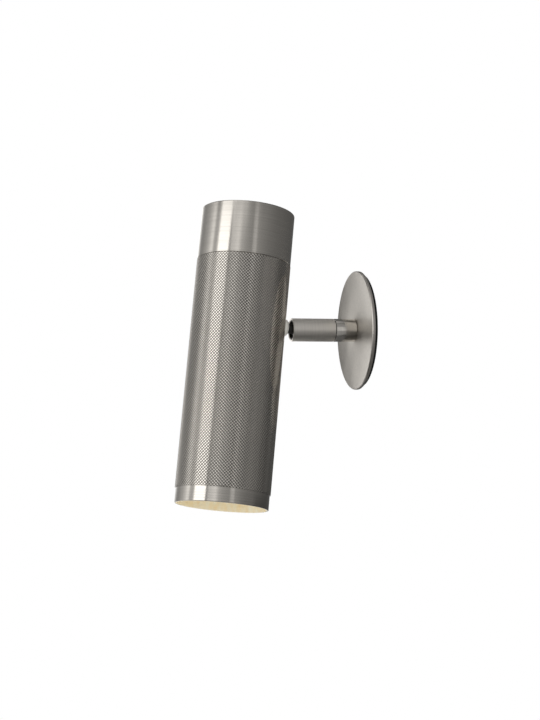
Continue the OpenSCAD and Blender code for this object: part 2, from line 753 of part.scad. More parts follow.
// Heights and radii of the lamp's body, as shares of its height and of its face
lamp_rim_share = 0.09;
lamp_waist_share = 0.7;
lamp_neck_share = 0.78;
lamp_waist_r_share = 0.62;
lens_t = 2.2;
lens_lip = 1.8;
module lamp_body() color(ceramic) on_tube() translate([0, 0, lens_z]) difference() {
    rotate_extrude() polygon([
        [0, 0], [lamp_r - edge_chamfer, 0], [lamp_r, edge_chamfer], [lamp_r, lamp_rim_share * lamp_h],
        [lamp_waist_r_share * lamp_r, lamp_waist_share * lamp_h],
        [lamp_base_r, lamp_neck_share * lamp_h], [lamp_base_r, lamp_h], [0, lamp_h]
    ]);
    translate([0, 0, -over]) cylinder(r = lamp_r - lens_lip, h = lens_t + over);
    for (i = [0 : lamp_fins - 1]) rotate(360 * i / lamp_fins)
        translate([lamp_waist_r_share * lamp_r, -lens_lip / 2, 2 * lamp_rim_share * lamp_h])
            cube([lamp_r, lens_lip, (lamp_waist_share - 2 * lamp_rim_share) * lamp_h]);
    for (side = [-1, 1]) translate([0, side * pin_pitch / 2, lamp_h - pin_l / 2])
        cylinder(r = pin_stem_r + thread_gap, h = pin_l);
}

module lamp_lens() color("#f7f0df") on_tube() translate([0, 0, lens_z])
    cylinder(r = lamp_r - lens_lip - pass_gap, h = lens_t);

module lamp_pins() color(brass_colour) on_tube() for (side = [-1, 1])
    translate([0, side * pin_pitch / 2, lamp_top]) {
        translate([0, 0, -pin_l / 2]) cylinder(r = pin_stem_r, h = pin_l + pin_l / 2 - pin_head_t);
        translate([0, 0, pin_l - pin_head_t]) cylinder(r = pin_head_r, h = pin_head_t);
    }

// Wiring

module earth_screw() color(brass_colour) on_stem()
    translate([lug_x, -lead_drop, leg_end + lug_t]) difference() {
        union() {
            cylinder(r = m3_head_r, h = m3_head_t);
            translate([0, 0, -lug_t - bracket_t]) cylinder(r = m3_r, h = lug_t + bracket_t + over);
        }
        translate([0, 0, m3_head_t]) cube([2 * m3_head_r + over, m3_r / 2, m3_head_t], center = true);
    }

module earth_lug() color(brass_colour) on_stem() translate([lug_x, -lead_drop, leg_end]) difference() {
    union() {
        cylinder(r = lug_r, h = lug_t);
        translate([0, -lug_barrel_r, 0]) cube([lug_r + lug_barrel_l, 2 * lug_barrel_r, lug_t]);
        translate([lug_r + pass_gap, 0, lug_barrel_r]) rotate([0, 90, 0])
            cylinder(r = lug_barrel_r, h = lug_barrel_l);
    }
    translate([0, 0, -over]) cylinder(r = m3_r + thread_gap, h = lug_t + 2 * over);
    translate([lug_r, 0, lug_barrel_r]) rotate([0, 90, 0])
        cylinder(r = core_r + thread_gap, h = lug_barrel_l + over);
    translate([0, 0, lug_t]) cylinder(r = m3_head_r + pass_gap, h = 2 * lug_barrel_r);
}

// The tie holds the lead against the bracket's tab, seen from above
module tie_outline(grow) {
    half = lead_r + pass_gap + grow;
    circle(r = half);
    translate([tab_x - pass_gap - grow, -half]) square([-tab_x + pass_gap + grow, 2 * half]);
}

module cable_tie() color(nylon) on_stem() translate([0, tie_top, lead_down_out])
    rotate([90, 0, 0]) linear_extrude(tie_w) difference() {
        union() {
            tie_outline(tie_t);
            translate([-tie_head / 2, 0]) square([tie_head, lead_r + tie_head]);
        }
        tie_outline(0);
    }

// Routes of the leads in the stem's own frame: X across, Y up, Z out from the ball
bend_steps = 7;
head_lead_route = concat(
    [[0, 0, -head_lead_back], [0, 0, stem_end / 2]],
    [for (i = [0 : bend_steps]) let (a = 90 * i / bend_steps)
        [0, -lead_bend * (1 - cos(a)), lead_down_out - lead_bend + lead_bend * sin(a)]],
    [[0, -lead_drop, lead_down_out]]
);
module head_lead() color(nylon) on_stem() swept(head_lead_route, lead_r, 12, [1, 0, 0]);

core_steps = 10;
core_start = -lead_drop - thread_gap;
core_end = holder_top - core_depth;
core_spread = core_ring * cos(30);
core_lift = core_ring * sin(30);
// How far the ends of a core's bend pull it straight, as shares of its drop
far_pull_share = 0.55;
near_pull_share = 0.3;
core_straight = core_r / 2;
function supply_route(side, pull_share) = let (drop = core_start - shelf_top) concat(
    [[side * core_spread, core_start, lead_down_out + core_lift]],
    [for (i = [0 : core_steps]) bezier(
        [side * core_spread, core_start - core_straight, lead_down_out + core_lift],
        [side * core_spread, core_start - drop * pull_share, lead_down_out + core_lift],
        [side * contact_x, shelf_top + drop * pull_share * 2, contact_out(side)],
        [side * contact_x, shelf_top, contact_out(side)], i / core_steps)],
    [[side * contact_x, core_end, contact_out(side)]]
);
module live_core() color("#6b3a20") on_stem()
    swept(supply_route(1, near_pull_share), core_r, 8, [1, 0, 0]);
module neutral_core() color("#2a5db0") on_stem()
    swept(supply_route(-1, far_pull_share), core_r, 8, [1, 0, 0]);

lug_mouth = lug_x + lug_r + lug_barrel_l;
earth_sag = 5 * core_r;
earth_loop = 9 * core_r;
earth_route = concat(
    [[lug_mouth - lug_barrel_l / 2, -lead_drop, leg_end + lug_barrel_r]],
    [for (i = [0 : core_steps]) bezier(
        [lug_mouth + core_r, -lead_drop, leg_end + lug_barrel_r],
        [lug_mouth + earth_loop, -lead_drop, leg_end + lug_barrel_r],
        [0, core_start - earth_sag, lead_down_out - core_ring],
        [0, core_start - core_straight, lead_down_out - core_ring], i / core_steps)],
    [[0, core_start, lead_down_out - core_ring]]
);
module earth_core() color("#5d9a3a") on_stem() swept(earth_route, core_r, 8, [0, 1, 0]);

base_plate();
wall_disc();
centre_nipple();
plate_nut();
cable_bush();
arm_stub();
swivel_stud();
swivel_bush();
stop_pin();
swivel_ring_nut();
arm_lead();
arm_sleeve();
friction_washer();
thrust_washer();
disc_springs();
ball_seat();
ball_retainer();
ball_stem();
trunnion_pins();
stem_collar();
knurled_sleeve();
top_cap();
bottom_ring();
glare_cone();
cone_snap_ring();
saddle_spacer();
holder_bracket();
stem_washer();
stem_nut();
lamp_holder();
holder_screws();
holder_nuts();
pin_contacts();
lamp_body();
lamp_lens();
lamp_pins();
earth_screw();
earth_lug();
cable_tie();
head_lead();
live_core();
neutral_core();
earth_core();
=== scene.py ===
from functools import partial
from math import cos, pi, radians, sin

import bmesh
import bpy
from mathutils import Matrix, Vector


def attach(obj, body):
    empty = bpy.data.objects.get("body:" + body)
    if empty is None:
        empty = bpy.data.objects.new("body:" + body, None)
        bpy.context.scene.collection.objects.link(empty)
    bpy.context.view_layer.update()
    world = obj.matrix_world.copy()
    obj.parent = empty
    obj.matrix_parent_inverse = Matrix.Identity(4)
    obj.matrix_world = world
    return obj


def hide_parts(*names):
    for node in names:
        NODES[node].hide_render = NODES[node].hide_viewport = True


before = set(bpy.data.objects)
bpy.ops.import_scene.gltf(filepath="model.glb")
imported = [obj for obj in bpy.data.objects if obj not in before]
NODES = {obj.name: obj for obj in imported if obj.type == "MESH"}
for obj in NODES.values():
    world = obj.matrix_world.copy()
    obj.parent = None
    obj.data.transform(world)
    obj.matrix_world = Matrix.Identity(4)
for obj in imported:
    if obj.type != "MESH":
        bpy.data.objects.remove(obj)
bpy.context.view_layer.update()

MM = 0.001

# Sizes of the light, in millimetres and degrees, as the construction gives them
SWIVEL = 8.1
TILT = 7.2
BALL_OUT = 41.0
BALL_TO_AXIS = 40.2
TUBE_R = 30.0
TUBE_WALL = 1.6
SLEEVE_TOP = 38.0
SLEEVE_LOW = -108.9
KNURL_PITCH = 2.0
KNURL_DEPTH = 0.17
KNURL_FLAT_SHARE = 0.58
KNURL_LAND = 0.03
STEM_HOLE_R = 3.6
STEM_HOLE_START = 4.0
STEM_HOLE_LENGTH = 8.0
CAP_R = 29.8
CAP_TOP = 71.5
CAP_PLATE = 2.5
CAP_WALL = 1.5
SPIGOT_R = 28.35
SPIGOT_L = 8.0
RING_R = 29.45
RIM_Z = -118.3
CONE_RIM_R = 28.65
CONE_THROAT_R = 27.25
CONE_TOP_R = 26.2
CONE_TOP_Z = -86.8
CONE_WALL = 0.7
CONE_CLEAR = 0.1
LENS_Z = -87.3
LENS_R = 23.1
LENS_T = 2.2
LENS_FACE = 0.5
DOME_ROW = 21
DOME_PITCH = 2.6
DOME_R = 1.35
DOME_RISE = 0.5
DOME_SEAT = 0.05
DOME_MARGIN = 1.6
ARM_R = 7.4
ARM_BORE_R = 6.4
ARM_WEB_BORE_R = 4.0
ARM_WEB_END = 24.5
STUB_START = 4.1
STUB_END = 18.0
SLEEVE_START = 18.5
ARM_END = 46.5
STUD_BORE_R = 2.5
NIPPLE_HOLE_R = 5.1
DISC_R = 38.25
DISC_BACK = 2.0
DISC_FRONT = 4.1
DISC_CHAMFER = 0.5
EDGE = 0.4
RIM_CHAMFER = 0.35
LEAD_END = 3.7
CORE_RING = 1.0
CORE_R = 0.8
COPPER_SHARE = 0.55

# How many sides a turned piece has
TUBE_SIDES = 224
ARM_SIDES = 144
LENS_SIDES = 96
HOLE_SIDES = 48

# Places of the pieces: at the wall, turned with the arm, on the tube's axis
AT_WALL = Matrix.Rotation(radians(90), 4, "X")
ARM_TURN = Matrix.Rotation(radians(-SWIVEL), 4, "Y")
AT_ARM = ARM_TURN @ AT_WALL
HEAD = ARM_TURN @ Matrix.Translation((0, -BALL_OUT * MM, 0)) @ Matrix.Rotation(radians(-TILT), 4, "X")
AT_TUBE = HEAD @ Matrix.Translation((0, -BALL_TO_AXIS * MM, 0))

# Where the photograph was taken from
VIEW_TURN = radians(75.515)
VIEW_RISE = radians(-1.172)
VIEW_DISTANCE = 1.1044
VIEW_TARGET = Vector((-0.040075, -0.05, -0.018513))
VIEW_LENS = 83.36
VIEW_SENSOR = 36
VIEW_NEAREST = 0.01
VIEW_ANGLE = VIEW_TURN - radians(90)

# Colours
STEEL = (0.598, 0.567, 0.520)
ARM_STEEL = (0.86, 0.82, 0.76)
POLISHED = (0.65, 0.62, 0.575)
COLLAR_STEEL = (0.90, 0.87, 0.80)
PLAIN_STEEL = (0.52, 0.51, 0.50)
BRASS = (0.76, 0.53, 0.24)
COPPER = (0.72, 0.36, 0.20)
BLACK = (0.006, 0.006, 0.006)
# painted shade in part: near black for the dark stem, and also standing for the shade inside the ball joint
DARK_STEEL_AND_JOINT_SHADE = (0.016, 0.015, 0.014)
DARK_NYLON = (0.035, 0.035, 0.037)
SHEATH = (0.022, 0.022, 0.023)
CERAMIC = (0.84, 0.82, 0.77)
LAMP_WHITE = (0.80, 0.80, 0.79)
GOLD_DARK, GOLD_LIGHT = (0.99, 0.80, 0.46), (1.0, 0.95, 0.76)
FROST_DARK, FROST_LIGHT = (0.86, 0.80, 0.66), (0.95, 0.92, 0.83)
FLOOR_DARK, FLOOR_LIGHT = (0.90, 0.90, 0.90), (0.93, 0.93, 0.93)
CORES = {
    "live_core": ("brown core", (0.13, 0.045, 0.02)),
    "neutral_core": ("blue core", (0.02, 0.09, 0.42)),
    "earth_core": ("green and yellow core", (0.12, 0.36, 0.05)),
}

# How much darker or lighter the second tone of a finish is
METAL_SHADE = 0.86
CREST_SHADE = 0.94
# painted shade: the knurl's colour at the bottom of its grooves, made darker to stand in for the shade that
# falls there
PAINTED_GROOVE_SHADE = 0.65
MOULDED_SHADE = 0.88
COAT_LIGHT = 1.6

# Patterns of the steel: stretched along the tube or arm for lathe lines, or cells per metre
FINE_LINES = (25, 25, 3200)
TOOL_PASSES = (8, 8, 950)
SLOW_CLOUDS = 38.0


# Small helpers for node trees

def add(tree, kind, inputs=None, **settings):
    """A new node with its settings, its inputs linked or set."""
    node = tree.nodes.new(kind)
    for name, value in settings.items():
        setattr(node, name, value)
    for socket, value in (inputs or {}).items():
        if isinstance(value, bpy.types.NodeSocket):
            tree.links.new(value, node.inputs[socket])
        else:
            node.inputs[socket].default_value = value
    return node


def shader_math(tree, operation, *values):
    """Result of a Math node; geometry trees use it too."""
    node = add(tree, "ShaderNodeMath", dict(enumerate(values)), operation=operation)
    return node.outputs[0]


def new_finish(name):
    """A material with its tree and its principled shader."""
    finish = bpy.data.materials.new(name)
    finish.use_nodes = True
    tree = finish.node_tree
    return finish, tree, tree.nodes["Principled BSDF"]


def piece_place(tree, place=None, stretch=(1, 1, 1)):
    """Coordinates on a piece: its own place is taken off, then the pattern is stretched."""
    spot = add(tree, "ShaderNodeTexCoord").outputs["Object"]
    if place is not None:
        spot = add(tree, "ShaderNodeMapping", {
            "Vector": spot, "Location": place.to_translation(), "Rotation": place.to_euler(),
        }, vector_type="TEXTURE").outputs[0]
    return add(tree, "ShaderNodeMapping", {"Vector": spot, "Scale": stretch}).outputs[0]


def noise(tree, spot, scale, detail=3.0, roughness=0.55):
    """Noise with a number of cells per metre."""
    return add(tree, "ShaderNodeTexNoise", {
        "Vector": spot, "Scale": scale, "Detail": detail, "Roughness": roughness,
    }).outputs["Fac"]


def spread(tree, value, low, high, from_low=0.3, from_high=0.7):
    """A pattern's value brought to a range."""
    return add(tree, "ShaderNodeMapRange", {
        "Value": value, "From Min": from_low, "From Max": from_high, "To Min": low, "To Max": high,
    }).outputs[0]


def weighed(tree, first, share, second):
    """Sum of two patterns, the first by its share and the second by the rest."""
    return shader_math(tree, "ADD", shader_math(tree, "MULTIPLY", first, share),
                       shader_math(tree, "MULTIPLY", second, round(1 - share, 3)))


def shade(colour, share):
    """A colour made darker or lighter."""
    return tuple(share * c for c in colour)


def colour_mix(tree, share, dark, light):
    """Two colours mixed by a pattern."""
    node = add(tree, "ShaderNodeMix", {0: share}, data_type="RGBA")
    colours = [s for s in node.inputs if s.type == "RGBA"]
    for socket, value in zip(colours, (dark, light)):
        if isinstance(value, bpy.types.NodeSocket):
            tree.links.new(value, socket)
        else:
            socket.default_value = (*value, 1)
    return [s for s in node.outputs if s.type == "RGBA"][0]


def tones(tree, shader, share, dark, light):
    """Base colour between two tones, by a pattern."""
    tree.links.new(colour_mix(tree, share, dark, light), shader.inputs["Base Color"])


def polish(tree, shader, roughness, marks):
    """Roughness that varies round its middle value."""
    tree.links.new(shader_math(tree, "ADD", roughness, marks), shader.inputs["Roughness"])


def relief(tree, shader, height, strength, distance):
    """Fine relief of a pattern, its height in metres."""
    raised = add(tree, "ShaderNodeBump", {"Height": height, "Strength": strength, "Distance": distance})
    tree.links.new(raised.outputs["Normal"], shader.inputs["Normal"])


# Finishes

def turned_steel(name, colour, roughness, grain, place, line_depth=0.12):
    """Steel turned on a lathe: fine lines round the axis spread its reflections along the axis."""
    finish, tree, shader = new_finish(name)
    lines = noise(tree, piece_place(tree, place, FINE_LINES), scale=1.0, detail=4.0, roughness=0.7)
    passes = noise(tree, piece_place(tree, place, TOOL_PASSES), scale=1.0, detail=3.0, roughness=0.75)
    clouds = noise(tree, piece_place(tree, place), SLOW_CLOUDS)
    tone = shader_math(tree, "ADD", spread(tree, passes, 0, 0.7), spread(tree, clouds, 0, 0.3))
    worn = shader_math(tree, "ADD", spread(tree, passes, 0.03, -0.02), spread(tree, lines, -0.02, 0.03))
    tones(tree, shader, tone, shade(colour, METAL_SHADE), colour)
    polish(tree, shader, roughness, worn)
    relief(tree, shader, lines, line_depth, 0.000012)
    shader.inputs["Metallic"].default_value = 1.0
    shader.inputs["Anisotropic"].default_value = grain
    shader.inputs["Anisotropic Rotation"].default_value = 0.25
    tangent = add(tree, "ShaderNodeTangent", direction_type="UV_MAP", uv_map="UVMap")
    tree.links.new(tangent.outputs[0], shader.inputs["Tangent"])
    return finish


def blasted_steel(name, colour, roughness, place):
    """Fine bead-blasted steel: soft reflections with a faint grain and slow clouds."""
    finish, tree, shader = new_finish(name)
    spot = piece_place(tree, place)
    clouds = noise(tree, spot, scale=70.0, detail=4.0, roughness=0.6)
    grain = noise(tree, spot, scale=900.0, detail=3.0, roughness=0.6)
    share = spread(tree, weighed(tree, grain, 0.6, clouds), 0, 1, 0.38, 0.62)
    tones(tree, shader, share, shade(colour, METAL_SHADE), colour)
    polish(tree, shader, roughness, spread(tree, clouds, -0.03, 0.04))
    relief(tree, shader, grain, 0.25, 0.00008)
    shader.inputs["Metallic"].default_value = 1.0
    return finish


def knurled_steel(name, colour, roughness, place):
    """Rolled diamonds: bright flat tops, with painted shade that darkens the colour towards the bottom of the
    grooves.
    """
    finish, tree, shader = new_finish(name)
    spot = piece_place(tree, place)
    split = add(tree, "ShaderNodeSeparateXYZ", {"Vector": spot}).outputs
    flat = add(tree, "ShaderNodeCombineXYZ", {"X": split["X"], "Y": split["Y"]}).outputs[0]
    radius = add(tree, "ShaderNodeVectorMath", {0: flat}, operation="LENGTH").outputs["Value"]
    # painted shade: the colour runs from the darker groove colour at the bottom of the grooves to the crest
    # colour at the top
    rise = spread(tree, radius, 0, 1, (TUBE_R - KNURL_DEPTH) * MM, (TUBE_R - KNURL_LAND) * MM)
    clouds = noise(tree, spot, SLOW_CLOUDS)
    crest = colour_mix(tree, spread(tree, clouds, 0, 1), shade(colour, CREST_SHADE), colour)
    tones(tree, shader, rise, shade(colour, PAINTED_GROOVE_SHADE), crest)
    polish(tree, shader, roughness, spread(tree, clouds, -0.02, 0.03))
    relief(tree, shader, noise(tree, spot, scale=2600.0, detail=2.0), 0.05, 0.00001)
    shader.inputs["Metallic"].default_value = 1.0
    return finish


def milled_metal(name, colour, roughness, metallic=1.0):
    """Small metal pieces: fine scratches and a slightly uneven polish."""
    finish, tree, shader = new_finish(name)
    marks = noise(tree, piece_place(tree), scale=900.0, detail=4.0, roughness=0.65)
    clouds = noise(tree, piece_place(tree), scale=110.0, detail=2.0)
    tones(tree, shader, spread(tree, clouds, 0, 1), shade(colour, METAL_SHADE), colour)
    polish(tree, shader, roughness, spread(tree, marks, -0.05, 0.08))
    relief(tree, shader, marks, 0.25, 0.00002)
    shader.inputs["Metallic"].default_value = metallic
    return finish


def black_coat(name, colour, roughness, shine=0.35):
    """Thin baked coat with a fine orange-peel surface."""
    finish, tree, shader = new_finish(name)
    peel = noise(tree, piece_place(tree), scale=1600.0, detail=2.0)
    clouds = noise(tree, piece_place(tree), scale=90.0)
    tones(tree, shader, spread(tree, clouds, 0, 1), colour, shade(colour, COAT_LIGHT))
    polish(tree, shader, roughness, spread(tree, clouds, -0.04, 0.06))
    relief(tree, shader, peel, 0.3, 0.00003)
    shader.inputs["Specular IOR Level"].default_value = shine
    return finish


def moulded(name, colour, roughness, pore=2200.0, depth=0.25):
    """Moulded nylon, sheath rubber or fired ceramic: a fine pored surface with uneven gloss."""
    finish, tree, shader = new_finish(name)
    pores = noise(tree, piece_place(tree), scale=pore, detail=2.0)
    clouds = noise(tree, piece_place(tree), scale=140.0)
    tones(tree, shader, spread(tree, clouds, 0, 1), shade(colour, MOULDED_SHADE), colour)
    polish(tree, shader, roughness, spread(tree, clouds, -0.05, 0.05))
    relief(tree, shader, pores, depth, 0.00002)
    return finish


def gold_inside(name, place):
    """Soft gold of the glare cone: satin metal with a mottled, hand-polished look."""
    finish, tree, shader = new_finish(name)
    spot = piece_place(tree, place, (1, 1, 0.55))
    patches = noise(tree, spot, scale=260.0, detail=4.0, roughness=0.6)
    broad = noise(tree, spot, scale=60.0, detail=2.0)
    share = spread(tree, weighed(tree, patches, 0.7, broad), 0, 1, 0.35, 0.65)
    tones(tree, shader, share, GOLD_DARK, GOLD_LIGHT)
    tree.links.new(spread(tree, patches, 0.42, 0.62), shader.inputs["Roughness"])
    relief(tree, shader, patches, 0.35, 0.0002)
    shader.inputs["Metallic"].default_value = 0.1
    return finish


def frosted_lens(name):
    """Warm frosted lens of the lamp."""
    finish, tree, shader = new_finish(name)
    frost = noise(tree, piece_place(tree), scale=1400.0, detail=2.0)
    tones(tree, shader, spread(tree, frost, 0, 1), FROST_DARK, FROST_LIGHT)
    tree.links.new(spread(tree, frost, 0.12, 0.24), shader.inputs["Roughness"])
    relief(tree, shader, frost, 0.2, 0.00004)
    shader.inputs["Transmission Weight"].default_value = 0.35
    shader.inputs["IOR"].default_value = 1.49
    return finish


def sheathed_lead(name):
    """Sheath of the lead at the wall; the three cores and their copper show on its cut end."""
    finish, tree, shader = new_finish(name)
    spot = add(tree, "ShaderNodeTexCoord").outputs["Object"]
    split = add(tree, "ShaderNodeSeparateXYZ", {"Vector": spot}).outputs
    flat = add(tree, "ShaderNodeCombineXYZ", {"X": split["X"], "Z": split["Z"]}).outputs[0]
    inside = shader_math(tree, "GREATER_THAN", split["Y"], LEAD_END * MM)
    colour = add(tree, "ShaderNodeRGB").outputs[0]
    colour.default_value = (*SHEATH, 1)
    for i, (_, core) in enumerate(CORES.values()):
        turn = radians(90 + 120 * i)
        centre = (CORE_RING * MM * cos(turn), 0, CORE_RING * MM * sin(turn))
        away = add(tree, "ShaderNodeVectorMath", {0: flat, 1: centre}, operation="DISTANCE").outputs["Value"]
        for radius, paint in ((CORE_R, core), (COPPER_SHARE * CORE_R, COPPER)):
            near = shader_math(tree, "LESS_THAN", away, radius * MM)
            colour = colour_mix(tree, shader_math(tree, "MULTIPLY", inside, near), colour, paint)
    tree.links.new(colour, shader.inputs["Base Color"])
    pores = noise(tree, spot, scale=1800.0, detail=2.0)
    tree.links.new(spread(tree, pores, 0.42, 0.55), shader.inputs["Roughness"])
    relief(tree, shader, pores, 0.2, 0.00002)
    return finish


# Meshes

def new_object(name, mesh):
    """An object with a mesh, in the scene."""
    piece = bpy.data.objects.new(name, mesh)
    bpy.context.scene.collection.objects.link(piece)
    return piece


def filled_mesh(name, shape):
    """A mesh with what a bmesh holds."""
    mesh = bpy.data.meshes.new(name)
    shape.to_mesh(mesh)
    shape.free()
    return mesh


def plain_piece(name, mesh, place, finish, body, slot, *nodes):
    """Puts a finished mesh in its place as a piece that stands for its construction nodes."""
    mesh.transform(place)
    mesh.update()
    piece = new_object(name, mesh)
    mesh.materials.clear()
    mesh.materials.append(finish)
    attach(piece, body)
    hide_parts(*nodes)
    return piece


def rounded(corners, radius, steps=3):
    """Replaces each corner by a small arc; a corner is (r, z) or (r, z, its own radius)."""
    points = []
    count = len(corners)
    for i, corner in enumerate(corners):
        here = Vector(corner[:2])
        size = corner[2] if len(corner) > 2 else radius
        before = Vector(corners[i - 1][:2]) - here
        after = Vector(corners[(i + 1) % count][:2]) - here
        if size <= 0 or here.x <= 0:
            points.append(tuple(here))
            continue
        size = min(size, 0.45 * before.length, 0.45 * after.length)
        start = here + before.normalized() * size
        end = here + after.normalized() * size
        for step in range(steps + 1):
            t = step / steps
            spot = (1 - t) ** 2 * start + 2 * t * (1 - t) * here + t ** 2 * end
            points.append(tuple(spot))
    return points


def lathe(name, profile, steps=TUBE_SIDES, crease=28):
    """Closed solid turned about Z. The profile's (radius, height) points run anticlockwise, in millimetres."""
    shape = bmesh.new()
    along = shape.loops.layers.uv.new("UVMap")
    rings = []
    for r, z in profile:
        turns = [2 * pi * k / steps for k in range(steps if r > 0 else 1)]
        rings.append([shape.verts.new((r * MM * cos(t), r * MM * sin(t), z * MM)) for t in turns])
    travel = [0.0]
    for i in range(len(profile)):
        a, b = Vector(profile[i]), Vector(profile[(i + 1) % len(profile)])
        travel.append(travel[-1] + (b - a).length * MM)
    for i, low in enumerate(rings):
        high = rings[(i + 1) % len(rings)]
        if len(low) == 1 and len(high) == 1:
            continue
        for k in range(steps):
            n = (k + 1) % steps
            corners = [(low[0], k, i)]
            if len(low) > 1:
                corners = [(low[k], k, i), (low[n], k + 1, i)]
            if len(high) > 1:
                corners += [(high[n], k + 1, i + 1), (high[k], k, i + 1)]
            else:
                corners += [(high[0], k, i + 1)]
            face = shape.faces.new([c[0] for c in corners])
            for loop, (_, u, v) in zip(face.loops, corners):
                loop[along].uv = (u / steps, travel[v] * 10)
    mesh = filled_mesh(name, shape)
    mesh.polygons.foreach_set("use_smooth", [True] * len(mesh.polygons))
    mesh.set_sharp_from_angle(angle=radians(crease))
    return mesh


def applied(holder):
    """The plain mesh of an object with its modifiers."""
    bpy.context.view_layer.update()
    ready = holder.evaluated_get(bpy.context.evaluated_depsgraph_get())
    return bpy.data.meshes.new_from_object(ready)


def grown(name, tree, values):
    """Runs a geometry tree with its named inputs and returns the plain mesh that it makes."""
    holder = new_object(name, bpy.data.meshes.new(name))
    modifier = holder.modifiers.new(name, "NODES")
    modifier.node_group = tree
    sockets = {item.name: item.identifier for item in tree.interface.items_tree if item.in_out == "INPUT"}
    for label, value in values.items():
        modifier[sockets[label]] = value
    mesh = applied(holder)
    bpy.data.objects.remove(holder)
    return mesh


def drilled(mesh, radius, length, place):
    """A mesh with a round hole along local Z of the place, from its origin."""
    shape = bmesh.new()
    bmesh.ops.create_cone(shape, cap_ends=True, segments=HOLE_SIDES, radius1=radius * MM,
                          radius2=radius * MM, depth=length * MM)
    hole = filled_mesh("drill", shape)
    hole.transform(place @ Matrix.Translation((0, 0, length / 2 * MM)))
    drill = new_object("drill", hole)
    blank = new_object("blank", mesh)
    work = blank.modifiers.new("hole", "BOOLEAN")
    work.object = drill
    work.operation = "DIFFERENCE"
    work.solver = "EXACT"
    holed = applied(blank)
    bpy.data.objects.remove(blank)
    bpy.data.objects.remove(drill)
    return holed


# Geometry trees

def growing_tree(name, inputs):
    """A geometry tree with named inputs; returns the tree and the sockets of its inputs."""
    tree = bpy.data.node_groups.new(name, "GeometryNodeTree")
    tree.interface.new_socket("Geometry", in_out="OUTPUT", socket_type="NodeSocketGeometry")
    for label, kind in inputs.items():
        tree.interface.new_socket(label, in_out="INPUT", socket_type=f"NodeSocket{kind}")
    entry = tree.nodes.new("NodeGroupInput")
    return tree, entry.outputs


def end_tree(tree, geometry, finish):
    """Ends a geometry tree in plain geometry with its finish."""
    real = add(tree, "GeometryNodeRealizeInstances", {"Geometry": geometry}).outputs[0]
    dressed = add(tree, "GeometryNodeSetMaterial", {"Geometry": real, "Material": finish}).outputs[0]
    leave = tree.nodes.new("NodeGroupOutput")
    tree.links.new(dressed, leave.inputs[0])


def own_spot(tree):
    """Each point's position, whole."""
    return add(tree, "GeometryNodeInputPosition").outputs[0]


def spot_parts(tree):
    """Each point's position, split in X, Y and Z."""
    return add(tree, "ShaderNodeSeparateXYZ", {"Vector": own_spot(tree)}).outputs


def moved(tree, geometry, **parts):
    """Geometry whose points go to a new X, Y and Z."""
    spot = add(tree, "ShaderNodeCombineXYZ", parts).outputs[0]
    return add(tree, "GeometryNodeSetPosition", {"Geometry": geometry, "Position": spot}).outputs[0]


def rolled_up(tree, geometry, radius, bend, height):
    """Geometry whose points go round the Z axis."""
    math = partial(shader_math, tree)
    return moved(tree, geometry, X=math("MULTIPLY", radius, math("COSINE", bend)),
                 Y=math("MULTIPLY", radius, math("SINE", bend)), Z=height)


def grid_of(tree, across, up, width=1.0):
    """A flat square grid with a number of points each way."""
    return add(tree, "GeometryNodeMeshGrid", {
        "Size X": width, "Size Y": width, "Vertices X": across, "Vertices Y": up,
    }).outputs["Mesh"]


